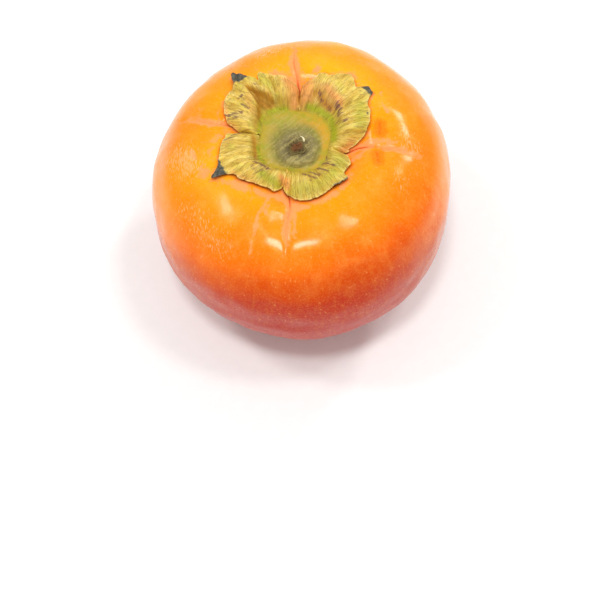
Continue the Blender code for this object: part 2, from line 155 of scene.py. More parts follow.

# A fold's height and width are in mm, and a fold below 0 is a hollow. tip is (azimuth, distance): the
# blade has dried black beyond that distance in that direction. Of the marks, dry adds a black part and live
# keeps a part of the tip yellow.
# Of the marks, shade is painted shade in the hollows and under the folds, over the blade's own browner
# colour.
SEPALS = (
    Sepal(
        "leaf_back_right",
        "sepal_back_right",
        1.3 * MM,
        0.2 * MM,
        ((-14, 10.4), (-12.5, 12.6), (-7, 13.9), (0, 16.3), (10, 18.6), (21, 20.0), (28.5, 20.9))
        + ((31.0, 21.8), (32.4, 23.2), (35, 23.0), (38, 22.9), (39.8, 22.4), (41.2, 21.4), (47, 21.9))
        + ((53, 22.7), (58, 21.4), (62, 20.1), (70, 19.8), (75, 18.4), (81, 16.6), (84, 14.8))
        + ((85.3, 10.4),),
        (34.5, 21.6),
        (
            Fold(-0.5, 0.7, ((75, 18.6), (72.5, 15.0), (69.5, 11.5))),
            Fold(0.5, 1.3, ((80, 16.5), (78, 12.0))),
            Fold(0.3, 1.1, ((66, 19.0), (65, 16.0))),
            Fold(-0.8, 1.5, ((68, 14.6), (61, 13.4), (52, 12.6), (44, 12.2))),
            Fold(0.6, 0.9, ((45, 14.6), (36, 13.8), (28, 13.2), (20, 12.6))),
            Fold(-0.3, 0.8, ((46, 21.5), (46, 17.0))),
            Fold(0.6, 0.6, ((36.0, 22.6), (35, 20.0), (33, 17.0))),
            Fold(-0.4, 0.9, ((21, 19.5), (20, 15.5))),
            Fold(0.3, 1.0, ((11, 18.0), (8, 14.0))),
        ),
        (
            Mark("blush", 1.0, 2.4, ((80, 16.0), (79, 12.0))),
            Mark("blush", 0.55, 1.2, ((66, 15.5), (55, 13.4), (44, 13.2))),
            Mark("blush", 0.8, 1.0, ((-3, 14.0), (-12, 12.0))),
            Mark("blush", 0.8, 1.3, ((60, 15.8), (48, 15.2), (40, 14.8))),
            Mark("shade", 0.9, 1.3, ((67, 14.0), (58, 13.0), (47, 12.6))),
            Mark("shade", 0.9, 0.6, ((83.4, 12.4), (84.6, 10.6))),
            Mark("green", 1.0, 1.0, ((72, 10.6), (55, 10.9), (38, 11.2), (18, 10.4), (2, 9.8))),
            Mark("green", 0.6, 2.2, ((28, 18.5), (13, 16.8))),
            Mark("stain", 0.8, 0.9, ((64, 14.4), (60, 13.0))),
            Mark("stain", 0.75, 1.1, ((53, 13.6), (44, 12.4))),
            Mark("stain", 1.0, 0.9, ((42, 14.0), (36, 13.8), (29, 13.0))),
            Mark("stain", 0.6, 0.9, ((22, 11.8), (18, 14.6))),
            Mark("dry", 1.0, 0.3, ((18.8, 19.1), (19.8, 19.2))),
            Mark("live", 1.0, 1.1, ((47, 21.6), (43.5, 22.2))),
            Mark("live", 1.0, 0.6, ((29.5, 20.6), (32.6, 21.6))),
        ),
    ),
    Sepal(
        "leaf_back_left",
        "sepal_back_left",
        1.5 * MM,
        0.9 * MM,
        ((85.7, 10.4), (86.8, 14.2), (89, 16.2), (93, 17.4), (98, 18.5), (107, 19.2), (112, 20.3))
        + ((115.5, 21.1), (117.6, 20.9), (119.8, 19.2), (121.4, 20.7), (124, 21.8), (127, 23.4))
        + ((129.4, 25.1), (131.4, 24.9), (133.6, 23.6), (135.6, 22.0), (142, 21.4), (151, 20.7))
        + ((159, 19.2), (165, 16.6), (167.2, 14.2), (168.2, 10.9)),
        (129, 21.4),
        (
            Fold(1.5, 1.0, ((135, 22.0), (134.5, 18.6), (136.5, 15.4), (142, 12.8), (150, 11.6))),
            Fold(-1.9, 1.7, ((127.5, 16.4), (127, 13.8), (124, 11.8))),
            Fold(1.0, 0.8, ((130, 20.6), (126.8, 18.4), (122.8, 16.4), (118.5, 13.6))),
            Fold(-0.5, 0.6, ((120.3, 19.8), (121.5, 17.6))),
            Fold(0.5, 1.6, ((106, 18.0), (106, 14.6), (107, 12.5))),
            Fold(-0.3, 0.9, ((98, 17.5), (98, 13.5))),
            Fold(0.5, 1.2, ((146, 19.0), (149, 14.4))),
            Fold(-0.4, 0.9, ((157, 18.6), (158, 14.0))),
        ),
        (
            Mark("blush", 1.0, 2.0, ((96, 17.0), (92, 14.3), (90.5, 11.0))),
            Mark("blush", 0.6, 0.8, ((152, 20.2), (161, 18.3), (167, 15.4))),
            Mark("blush", 0.4, 1.2, ((138, 16.0), (146, 13.4))),
            Mark("shade", 0.9, 1.5, ((128, 16.4), (127, 13.6), (122, 12.0))),
            Mark("shade", 0.45, 1.3, ((108, 12.4), (100, 11.8), (94, 12.4))),
            Mark("shade", 0.9, 0.7, ((131.5, 19.0), (131.5, 16.0), (136, 13.2), (148, 11.4))),
            Mark("shade", 1.0, 0.6, ((130.5, 19.2), (127.6, 17.6), (124.8, 16), (121.5, 14.4), (118, 12.6))),
            Mark("shade", 0.5, 0.9, ((140, 13.0), (152, 11.6), (164, 10.6))),
            Mark("green", 1.0, 0.9, ((128, 10.9), (117, 10.5), (105, 9.9))),
            Mark("green", 0.7, 0.8, ((139, 11.0), (154, 10.3), (168, 9.8))),
            Mark("green", 0.5, 1.8, ((117, 19.5), (113, 16.0))),
            Mark("stain", 1.0, 0.5, ((159, 19.6), (156.5, 17.5), (152.8, 15.2))),
            Mark("stain", 0.8, 0.5, ((160, 18.0), (157, 15.8))),
            Mark("stain", 1.0, 0.6, ((147, 16.2), (146, 14.3))),
            Mark("stain", 0.9, 0.5, ((143, 18.2), (138.6, 17.8))),
            Mark("stain", 0.8, 0.4, ((126.2, 19.0), (124.8, 18.2))),
            Mark("shade", 0.9, 0.6, ((87.6, 12.4), (86.6, 10.6))),
        ),
    ),
    Sepal(
        "leaf_front_left",
        "sepal_front_left",
        1.2 * MM,
        0.5 * MM,
        ((170.5, 11.0), (171.5, 14.2), (173.6, 16.5), (180, 17.8), (190, 19.0), (200, 20.3), (204.5, 21.2))
        + ((208, 22.8), (210.8, 23.4), (212.2, 21.4), (214, 19.8), (221, 18.2), (232, 16.3), (243, 15.3))
        + ((253.5, 14.4), (256, 12.8), (257.3, 9.9)),
        (207, 19.9),
        (
            Fold(-0.6, 0.6, ((230.7, 16.5), (226.8, 14.3), (233.8, 9.9))),
            Fold(0.5, 1.1, ((221, 17.2), (219, 14.0), (224, 12.0))),
            Fold(0.6, 1.2, ((208, 17.6), (208, 13.6))),
            Fold(-0.4, 0.8, ((200, 19.0), (200, 14.0))),
            Fold(0.4, 1.0, ((193, 18.0), (193, 13.6))),
            Fold(-0.3, 0.8, ((184, 17.0), (184, 13.0))),
            Fold(0.5, 0.9, ((180, 11.8), (195, 12.0), (208, 12.6))),
            Fold(0.4, 1.3, ((243, 14.0), (246, 11.5))),
        ),
        (
            Mark("shade", 0.9, 0.7, ((176, 10.8), (186, 10.6), (197, 10.9), (206, 11.5))),
            Mark("shade", 0.4, 1.5, ((183, 16.8), (190, 17.4))),
            Mark("green", 0.9, 0.7, ((190, 9.7), (208, 10.2), (218, 10.3))),
            Mark("green", 0.8, 1.4, ((231, 13.4), (243, 13.4), (251, 13.6))),
            Mark("blush", 1.0, 0.9, ((251.5, 11.6), (254, 12.9))),
            Mark("blush", 0.5, 0.6, ((214, 18.8), (222, 17.6), (231, 16.0))),
            Mark("stain", 1.0, 0.8, ((216.5, 12.6), (225, 11.2), (233, 10.8))),
            Mark("stain", 0.7, 1.0, ((220.6, 14.4), (227.5, 12.6))),
            Mark("stain", 0.75, 0.9, ((182.6, 17.8), (178, 15.4), (174, 13.4))),
        ),
    ),
    Sepal(
        "leaf_front_right",
        "sepal_front_right",
        0.8 * MM,
        0.2 * MM,
        ((256.7, 9.9), (257.7, 13.0), (260, 14.5), (265, 15.7), (270, 17.1), (276, 18.0), (286, 18.2))
        + ((295, 17.5), (302, 16.9), (308, 17.0), (314, 17.4), (317.6, 17.3), (320, 16.0), (323, 15.2))
        + ((327, 15.3), (332, 15.4), (338, 14.4), (343.5, 12.6), (346, 9.9)),
        (317, 30.0),
        (
            Fold(-0.5, 0.6, ((325, 9.6), (320, 12.2), (318.5, 15.0))),
            Fold(0.5, 1.2, ((333, 14.0), (334, 10.5))),
            Fold(0.4, 1.2, ((307, 15.5), (307, 11.0))),
            Fold(-0.35, 0.9, ((296, 16.5), (296, 11.5))),
            Fold(0.35, 1.2, ((284, 17.0), (284, 12.0))),
            Fold(-0.3, 1.0, ((272, 16.5), (273, 12.0))),
            Fold(0.5, 0.5, ((318, 17.1), (311, 17.0), (304, 16.8))),
        ),
        (
            Mark("green", 0.55, 2.4, ((335, 13.0), (318, 14.0), (300, 14.6), (284, 15.6), (270, 14.6))),
            Mark("blush", 0.9, 0.8, ((259, 11.6), (262, 13.6))),
            Mark("blush", 0.5, 0.9, ((343, 12.2), (336, 13.6))),
            Mark("stain", 1.0, 0.55, ((279.5, 9.7), (286, 11.2), (292, 13.2))),
            Mark("stain", 0.9, 0.5, ((293, 10.0), (299, 12.6))),
            Mark("stain", 1.0, 0.6, ((305, 9.6), (306.5, 11.0), (308.5, 12.8))),
            Mark("stain", 1.0, 0.75, ((314, 8.8), (320, 10.4), (322, 12.2))),
            Mark("stain", 1.0, 0.7, ((332, 8.6), (326, 9.6))),
            Mark("stain", 0.9, 0.35, ((285.4, 13.4), (286.4, 13.6))),
            Mark("dry", 1.0, 0.17, ((304.5, 16.9), (311, 17.15), (316.6, 17.35))),
        ),
    ),
)
SEPAL_COLUMNS = 220
SEPAL_ROWS = 90
FAN_RADIUS = 16 * MM  # where the blades' veins have their true spacing
MARGIN_WAVES = ((0.35, 1.6), (0.2, 0.6))  # in the margin's reach, as (height, size) in mm
BLADE_RIPPLES = ((0.55, 2.4), (0.2, 0.9))
BLADE_THICKNESS = 0.35 * MM
BLADE_FOOT = 1.3 * MM  # how far the blade's foot is tucked in under the disc's edge
FOOT_DEPTH = 0.55 * MM  # how far below the disc's plate the foot starts
ARCH = 10.92  # makes the arch's highest point 1
MARGIN_GAP = 0.4 * MM  # between the skin and the blade's margin
BLADE_GAP = 0.25 * MM  # between the skin and the blade's underside, at the least
TIP_FRAY = 0.5 * MM  # how far the tip's black fades into the yellow
RIM_WIDTH = 0.35 * MM  # of the pale edge of the blade

DISC_COLUMNS = 220
DISC_RINGS = 100
DISC_LUMPS = ((0.6, 3.5), (0.3, 1.2))
GROWTH_RING = 0.035 * MM  # half the height of the rings of growth on the disc


def smooth_step(x):
    """0 below 0, 1 above 1, and an even S between them."""
    x = np.clip(x, 0.0, 1.0)
    return x * x * (3 - 2 * x)


def bell(distance, width):
    """1 at no distance and fading evenly on both sides. It is 0.37 at the width."""
    return np.exp(-((distance / width) ** 2))


def turn_between(a, b):
    """The angle from azimuth a to azimuth b, from -180 to 180 degrees."""
    return (b - a + 180) % 360 - 180


def polar(x, y):
    """The distance and azimuth of a place."""
    return np.hypot(x, y), np.degrees(np.arctan2(y, x))


def level(radius, azimuth):
    """The place, x and y, at this distance and azimuth."""
    return radius * np.cos(np.radians(azimuth)), radius * np.sin(np.radians(azimuth))


def rolling(points, size, seed=0):
    """Smooth random numbers round 0, mostly within 0.5 of it, that change over this size."""
    places = (points.reshape(-1, 3) / size + 17.3 * seed).tolist()
    return np.array([noise.noise(place) for place in places]).reshape(points.shape[:-1])


def lumps(points, heights_and_sizes, seed):
    """Unevenness in metres: one rolling of numbers for each (height, size) in mm, added up."""
    return sum(
        height * MM * rolling(points, size * MM, seed + number)
        for number, (height, size) in enumerate(heights_and_sizes)
    )


def curve_through(marks, at):
    """A smooth curve through the marks (place, value), read off at other places."""
    places, values = np.array(marks, float).T
    slopes = np.gradient(values, places)
    piece = np.clip(np.searchsorted(places, at) - 1, 0, len(places) - 2)
    width = places[piece + 1] - places[piece]
    t = np.clip((at - places[piece]) / width, 0, 1)
    rise = t * t * (3 - 2 * t)
    return (
        values[piece] * (1 - rise)
        + values[piece + 1] * rise
        + width * t * (1 - t) * (slopes[piece] * (1 - t) - slopes[piece + 1] * t)
    )


def distance_to_path(x, y, path):
    """How far each point (x, y) is from a path of (azimuth, distance in mm)."""
    corners = [level(reach * MM, azimuth) for azimuth, reach in path]
    nearest = np.full(np.shape(x), np.inf)
    for (ax, ay), (bx, by) in zip(corners, corners[1:]):
        dx, dy = bx - ax, by - ay
        share = np.clip(((x - ax) * dx + (y - ay) * dy) / (dx * dx + dy * dy), 0, 1)
        nearest = np.minimum(nearest, np.hypot(x - ax - share * dx, y - ay - share * dy))
    return nearest


# ---------------------------------------------------------------- the fruit's form


def plan_radius(azimuth):
    """The radius of the fruit's widest ring at this azimuth."""
    oval = OVAL * np.cos(np.radians(2 * (azimuth - OVAL_AZIMUTH)))
    three_sided = THREE_SIDED * np.cos(np.radians(3 * (azimuth - THREE_SIDED_AZIMUTH)))
    return FRUIT_RADIUS * (1 + oval + three_sided)


def crease_turns(radius, azimuth):
    """For each crease, the angle from it to this place round the calyx's middle."""
    for number, path in enumerate(CREASES):
        reaches, azimuths = np.array(path, float).T
        bends = 0.5 * np.sin(radius / (1.6 * MM) + number) + 0.7 * np.sin(radius / (3.7 * MM) + 2 * number)
        yield turn_between(np.interp(radius, reaches * MM, azimuths) + bends, azimuth)


def crease_strength(radius):
    """A crease comes out from under the calyx and has died away on the shoulder."""
    return smooth_step((radius - 10 * MM) / (3 * MM)) * (1 - smooth_step((radius - 24 * MM) / (12 * MM)))


def furrow_depth(radius, azimuth):
    """How far the furrows, and the sharp creases in them, lower the skin."""
    along = bell(radius - FURROW_MIDDLE, FURROW_REACH)
    out_of_floor = smooth_step((radius - BASIN_FLOOR_RADIUS) / (5 * MM))
    depth = 0
    for turn in crease_turns(radius, azimuth):
        across = np.abs(np.radians(turn)) * radius
        furrow = FURROW_DEPTH * bell(turn, FURROW_SPREAD)
        flank = FLANK_DEPTH * bell(turn, FLANK_SPREAD)
        depth = depth + (furrow + flank) * along * out_of_floor
        depth = depth + CREASE_DEPTH * np.exp(-across / CREASE_WIDTH) * crease_strength(radius)
    return depth


def basin_depth(radius):
    """How far the basin in which the calyx sits lowers the skin."""
    width = BASIN_RIM_RADIUS - BASIN_FLOOR_RADIUS
    return BASIN_DEPTH * (1 - smooth_step((radius - BASIN_FLOOR_RADIUS) / width))


def top_height(x, y):
    """The height of the fruit's upper skin, x and y being from its axis."""
    n = SHOULDER_SQUARENESS
    radius, azimuth = polar(x, y)
    share = np.minimum(radius / plan_radius(azimuth), 1.0)
    dome = SHOULDER_RISE * (1 - share**n) ** (1 / n)
    radius, azimuth = polar(x - CALYX_X, y - CALYX_Y)
    return EQUATOR_HEIGHT + dome - basin_depth(radius) - furrow_depth(radius, azimuth)


def underside_height(x, y):
    """The height of the lower skin, flat where the fruit stands, with a dimple in the middle."""
    n = UNDERSIDE_SQUARENESS
    radius, azimuth = polar(x, y)
    share = np.minimum(radius / plan_radius(azimuth), 1.0)
    bowl = EQUATOR_HEIGHT - UNDERSIDE_DROP * (1 - share**n) ** (1 / n)
    dimple = DIMPLE_DEPTH * np.maximum(0.0, 1 - (radius / DIMPLE_RADIUS) ** 2) ** 2
    return np.maximum(bowl, 0.0) + dimple


def fruit_axis():
    """Where the fruit's axis stands in the frame, which has its origin under the middle of the outline."""
    low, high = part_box("fruit")
    azimuths = np.arange(0.0, 360.0, 0.5)
    xs, ys = level(plan_radius(azimuths), azimuths)
    return (low.x + high.x - xs.min() - xs.max()) / 2, (low.y + high.y - ys.min() - ys.max()) / 2


# ---------------------------------------------------------------- meshes


def grid_faces(rows, columns, closed):
    """The quads of a grid of points. A closed one joins its last column to its first."""
    index = np.arange(rows * columns).reshape(rows, columns)
    beside = np.roll(index, -1, axis=1)
    if not closed:
        index, beside = index[:, :-1], beside[:, :-1]
    quads = np.stack((index[:-1], index[1:], beside[1:], beside[:-1]), axis=-1)
    return quads.reshape(-1, 4).tolist()


def capped(points, facts, low_cap, high_cap):
    """Faces for a closed grid whose first and last rings are each filled by a fan round their middle.

    Returns the points, the facts and the faces, with the two middles added at the end.
    """
    rows, columns = points.shape[:2]
    faces = grid_faces(rows, columns, True)
    flat = points.reshape(-1, 3)
    values = {name: fact.reshape(-1, *fact.shape[2:]) for name, fact in facts.items()}
    for ring, wanted in ((0, low_cap), (rows - 1, high_cap)):
        if not wanted:
            continue
        middle = len(flat)
        around = [ring * columns + n for n in range(columns)]
        flat = np.vstack((flat, points[ring].mean(axis=0)))
        for name in values:
            values[name] = np.concatenate((values[name], facts[name][ring].mean(axis=0, keepdims=True)))
        for a, b in zip(around, around[1:] + around[:1]):
            faces.append((middle, a, b) if ring == 0 else (middle, b, a))
    return flat, values, faces


def add_piece(name, points, faces, material, facts=None):
    """Makes a smooth object. facts are the numbers, or triples of them, that its material reads."""
    mesh = bpy.data.meshes.new(name)
    mesh.from_pydata(points.reshape(-1, 3).tolist(), [], faces)
    for fact, values in (facts or {}).items():
        triple = values.size == 3 * len(mesh.vertices)
        layer = mesh.attributes.new(fact, "FLOAT_VECTOR" if triple else "FLOAT", "POINT")
        layer.data.foreach_set("vector" if triple else "value", values.reshape(-1))
    mesh.materials.append(material)
    mesh.shade_smooth()
    obj = bpy.data.objects.new(name, mesh)
    bpy.context.scene.collection.objects.link(obj)
    return obj


def stand_for(obj, node):
    """obj rides on the one body and shows in place of this CAD node."""
    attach(obj, "root")
    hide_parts(node)


def calyx_reach(azimuth):
    """How far the calyx reaches over the skin at this azimuth."""
    reach = np.zeros(np.shape(azimuth))
    for sepal in SEPALS:
        first, last = sepal.outline[0][0], sepal.outline[-1][0]
        within = first + (azimuth - first) % 360
        blade = curve_through(sepal.outline, within) * MM
        reach = np.where(within <= last, np.maximum(reach, blade), reach)
    return reach


def crowded_azimuths(radius):
    """The columns' azimuths in a ring of this radius, drawn together along the creases."""
    evenly = np.arange(FRUIT_COLUMNS) * 360 / FRUIT_COLUMNS
    azimuth = evenly.copy()
    for turn in crease_turns(np.full(FRUIT_COLUMNS, max(radius, DISC_RADIUS)), evenly):
        azimuth -= CROWDING * turn * bell(turn, CROWDING_SPREAD)
    return azimuth


def profile_shares():
    """The rings' shares of the plan radius, closest together on the upper skin outside the calyx's disc.

    Returns the shares and whether each ring is on the upper skin.
    """
    fine = np.linspace(0, pi / 2, 2000)
    shares = np.concatenate((np.sin(fine), np.sin(fine[::-1])[1:]))
    upper = np.arange(len(shares)) < len(fine)
    x = shares * plan_radius(0.0)
    z = np.where(upper, top_height(x, 0 * x), underside_height(x, 0 * x))
    wanted = np.where(upper & (x > DISC_RADIUS), 1.0, 0.45)
    steps = np.hypot(np.diff(x), np.diff(z)) * wanted[1:]
    along = np.concatenate(([0], np.cumsum(steps)))
    at = np.linspace(along[-1] * 0.004, along[-1] * 0.994, FRUIT_RINGS)
    return np.interp(at, along, shares), at < along[len(fine) - 1]


def nearness(x, y, mark):
    """How strongly a mark shows at each point."""
    return mark.strength * bell(distance_to_path(x, y, mark.path), mark.width * MM)


def strongest(x, y, marks, kind):
    """How strongly the strongest mark of this kind shows at each point."""
    most = np.zeros(np.shape(x))
    for mark in marks:
        if mark.kind == kind:
            most = np.maximum(most, nearness(x, y, mark))
    return most


def fruit_grid():
    """The skin's plain form, in rings from the top to the bottom, x and y being from the fruit's axis.

    Returns its points, the rings' shares of the plan radius and whether each ring is on the upper skin.
    """
    shares, upper = profile_shares()
    x = np.zeros((FRUIT_RINGS, FRUIT_COLUMNS))
    y = x.copy()
    for ring, (share, above) in enumerate(zip(shares, upper)):
        reach = share * FRUIT_RADIUS
        out = smooth_step((reach - CALYX_CENTRED) / (AXIS_CENTRED - CALYX_CENTRED)) if above else 1.0
        azimuth = crowded_azimuths(reach if above else FRUIT_RADIUS)
        dx, dy = level(share * plan_radius(azimuth), azimuth)
        x[ring] = dx + CALYX_X * (1 - out)
        y[ring] = dy + CALYX_Y * (1 - out)
    z = np.where(upper[:, None], top_height(x, y), underside_height(x, y))
    return np.stack((x, y, z), axis=-1), shares, upper


def skin_swell(points, upper):
    """How far each point moves from the plain form: the skin's lumps, and the pits of the pricks.

    It fades out under the calyx and where the fruit stands.
    """
    x, y, z = np.moveaxis(points, -1, 0)
    from_x, from_y = x - CALYX_X, y - CALYX_Y
    beside_calyx = smooth_step((np.hypot(from_x, from_y) - 12 * MM) / (8 * MM))
    off_floor = smooth_step(z / (12 * MM))
    swell = lumps(points, SKIN_LUMPS, seed=0)
    for mark in SKIN_MARKS:
        if mark.kind == "slit":
            pit = bell(distance_to_path(from_x, from_y, mark.path), PIT_WIDTH)
            swell -= PIT_DEPTH * pit * upper[:, None]
    from_middle = points - np.array((0, 0, EQUATOR_HEIGHT))
    outward = from_middle / np.linalg.norm(from_middle, axis=-1, keepdims=True)
    return outward * (swell * beside_calyx * off_floor)[..., None]


def skin_facts(points, shares, upper):
    """What the skin's material reads at each point of the plain form."""
    x, y, z = np.moveaxis(points, -1, 0)
    from_x, from_y = x - CALYX_X, y - CALYX_Y
    radius, azimuth = polar(from_x, from_y)
    marks = {
        kind: strongest(from_x, from_y, SKIN_MARKS, kind)
        for kind in ("bloom", "clear", "scuff", "spot", "slit")
    }

    # Bloom stays where no hand reaches: round the calyx and along the creases
    beyond = np.maximum(radius - calyx_reach(azimuth), 0)
    bloom = np.maximum(CALYX_BLOOM * bell(beyond, CALYX_BLOOM_WIDTH), marks["bloom"])
    # line: the painted shade along each crease's bottom, fading outwards
    line = np.zeros(radius.shape)
    strength = crease_strength(radius)
    deeper = 1.8 - 1.3 * smooth_step((radius - 15 * MM) / (5 * MM))
    for turn in crease_turns(radius, azimuth):
        across = np.abs(np.radians(turn)) * radius
        line = np.maximum(line, bell(across, CREASE_LINE_WIDTH) * strength * deeper)
        bloom = np.maximum(bloom, 1.2 * bell(across, CREASE_BLOOM_WIDTH) * strength)
    on_top = {
        "bloom": bloom * (1 - marks["clear"]),
        # edge: the painted shadow right under the sepals' margins
        "edge": bell(beyond, MARGIN_SHADE_WIDTH),
        "crease": line,
        "scuff": marks["scuff"],
        "spot": marks["spot"],
        "slit": marks["slit"],
    }
    facts = {name: np.where(upper[:, None], fact, 0.0) for name, fact in on_top.items()}

    front = np.exp(-((turn_between(FRONT_AZIMUTH, azimuth) / FRONT_SPREAD) ** 4))
    below_shoulder = smooth_step((FLANK_TOP - z) / (4 * MM))
    # flank: where the thin haze lies, partly painted reflection
    facts["flank"] = below_shoulder * smooth_step((z - 10 * MM) / (30 * MM)) * (1 - front)
    # side: where the low sides are painted lighter, leaving the low front in painted shade
    facts["side"] = (1 - front) * smooth_step((55 * MM - z) / (15 * MM))

    # ray is a place that moves slowly from the calyx to the blossom end and fast round the fruit
    runs = np.hypot(np.diff(shares * FRUIT_RADIUS), np.diff(z[:, 0]))
    down = np.concatenate(([0], np.cumsum(runs)))[:, None] / MM
    round_x, round_y = level(25.0, azimuth)
    facts["ray"] = np.stack((round_x, round_y, down / 8 + 0 * radius), axis=-1)
    return facts


def build_fruit(material):
    """The whole skin, with columns crowded along the creases."""
    points, shares, upper = fruit_grid()
    facts = skin_facts(points, shares, upper)
    points = points + skin_swell(points, upper) + np.array((AXIS_X, AXIS_Y, 0.0))
    flat, facts, faces = capped(points, facts, True, True)
    obj = add_piece("fruit_skin", flat, faces, material, facts)
    stand_for(obj, "fruit")


def disc_radius(azimuth):
    """The radius of the calyx's disc at this azimuth."""
    corners = DISC_CORNERS * np.cos(np.radians(4 * (azimuth - DISC_CORNER_AZIMUTH)))
    back = DISC_BACK * np.cos(np.radians(azimuth - DISC_BACK_AZIMUTH))
    return DISC_MEAN_RADIUS * (1 + corners + back)


def build_sepal(sepal, material):
    """A blade that springs from under the disc's edge, arches up and lies out over the shoulder."""
    first, last = sepal.outline[0][0], sepal.outline[-1][0]
    azimuth, out = np.meshgrid(np.linspace(first, last, SEPAL_COLUMNS), np.linspace(0, 1, SEPAL_ROWS))
    reach = curve_through(sepal.outline, azimuth) * MM
    foot = disc_radius(azimuth) - BLADE_FOOT
    radius = foot + out * (reach - foot)
    across = np.radians(azimuth) * FAN_RADIUS
    level_line = np.stack((across, 0 * across, 0 * across), axis=-1)
    radius += lumps(level_line, MARGIN_WAVES, seed=3) * out**3
    dx, dy = level(radius, azimuth)

    end_x, end_y = level(reach, azimuth)
    margin = top_height(CALYX_X + end_x, CALYX_Y + end_y) + MARGIN_GAP
    low = DISC_TOP - FOOT_DEPTH
    rise = smooth_step(out / 0.75)
    height = low + (margin - low) * rise + sepal.lift * ARCH * out**1.5 * (1 - out) ** 2
    for fold in sepal.folds:
        near = bell(distance_to_path(dx, dy, fold.path), fold.width * MM)
        height += fold.height * MM * near * smooth_step(out * 3)
    stretched = np.stack((across, radius / 6, 0 * radius), axis=-1)
    height += lumps(stretched, BLADE_RIPPLES, seed=5) * smooth_step(out * 2)

    tip_azimuth, tip_reach = sepal.tip
    towards_tip = dx * cos(radians(tip_azimuth)) + dy * sin(radians(tip_azimuth))
    plan = np.stack((dx, dy, 0 * dx), axis=-1)
    ragged = lumps(plan, ((0.5, 0.8),), seed=7)
    crumple = lumps(plan, ((0.6, 1.1),), seed=8)
    beyond_tip = (towards_tip - tip_reach * MM + ragged) / TIP_FRAY
    height += smooth_step(beyond_tip / 4) * (sepal.tip_lift + crumple)
    dry = smooth_step(beyond_tip) * (1 - strongest(dx, dy, sepal.marks, "live"))
    dry = np.maximum(dry, strongest(dx, dy, sepal.marks, "dry"))
    skin = top_height(CALYX_X + dx, CALYX_Y + dy)
    height = np.maximum(height, skin + BLADE_GAP + BLADE_THICKNESS)

    points = np.stack((dx + CALYX_X + AXIS_X, dy + CALYX_Y + AXIS_Y, height), axis=-1)
    facts = {
        "fan": np.stack((across / MM, radius / MM, 0 * radius), axis=-1),
        "out": out,
        "dry": dry,
        "rim": bell(reach - radius, RIM_WIDTH),
    }
    for kind in ("stain", "blush", "shade", "green"):
        facts[kind] = strongest(dx, dy, sepal.marks, kind)
    obj = add_piece(sepal.piece, points, grid_faces(SEPAL_ROWS, SEPAL_COLUMNS, False), material, facts)
    blade = obj.modifiers.new("blade", "SOLIDIFY")
    blade.thickness = BLADE_THICKNESS
    blade.offset = 1.0
    stand_for(obj, sepal.node)


# (distance from the middle, height over the disc's plate), in mm
DISC_PROFILE = (
    (0.0, 0.9),
    (1.6, 1.0),
    (2.4, 1.3),
    (3.2, 1.5),
    (4.0, 1.42),
    (4.8, 1.05),
    (5.4, 0.6),
    (6.0, 0.3),
    (6.8, 0.12),
    (7.8, 0.02),
    (8.6, -0.05),
    (9.3, -0.18),
    (9.9, -0.4),
    (10.1, -0.65),
    (10.0, -1.1),
    (0.4, -1.1),
)


def build_disc(material):
    """The calyx's thick middle. Its crown is round the stem, and its plate round the calyx's middle."""
    corners = np.array(DISC_PROFILE) * MM
    along = np.concatenate(([0], np.cumsum(np.hypot(*np.diff(corners, axis=0).T))))
    at = np.linspace(0.004, 1, DISC_RINGS) * along[-1]
    reach = np.interp(at, along, corners[:, 0])[:, None]
    height = np.interp(at, along, corners[:, 1])[:, None]
    upper = (at < along[-2])[:, None]
    azimuth = np.arange(DISC_COLUMNS)[None, :] * 360 / DISC_COLUMNS
    to_edge = smooth_step((reach - 4.0 * MM) / (5.4 * MM))
    stretched = reach * (1 + (disc_radius(azimuth) / DISC_RADIUS - 1) * to_edge)
    dx, dy = level(stretched, azimuth)
    x = dx + STEM_X + (CALYX_X - STEM_X) * to_edge
    y = dy + STEM_Y + (CALYX_Y - STEM_Y) * to_edge
    z = DISC_TOP + height + 0 * x
    points = np.stack((x, y, z), axis=-1)
    near_edge = smooth_step((reach - 7 * MM) / (2.5 * MM))
    swell = lumps(points, DISC_LUMPS, seed=11) * smooth_step(reach / (3 * MM)) * (1 - 0.85 * near_edge)
    rings = GROWTH_RING * np.sin(reach / (0.3 * MM) + 12 * rolling(points, 3 * MM, seed=13))
    points[..., 2] += np.where(upper, swell + rings, 0.0)
    points[..., 0] += AXIS_X
    points[..., 1] += AXIS_Y
    facts = {
        "from_stem": reach / MM + 0 * x,
        "tuft": bell(dx, 3.4 * MM) * bell(dy + 4.2 * MM, 1.5 * MM),
        "golden": 0.5 + 0.5 * np.cos(np.radians(azimuth - 20)) + 0 * x,
    }
    flat, facts, faces = capped(points, facts, True, True)
    obj = add_piece("calyx_heart", flat, faces, material, facts)
    stand_for(obj, "calyx_disc")


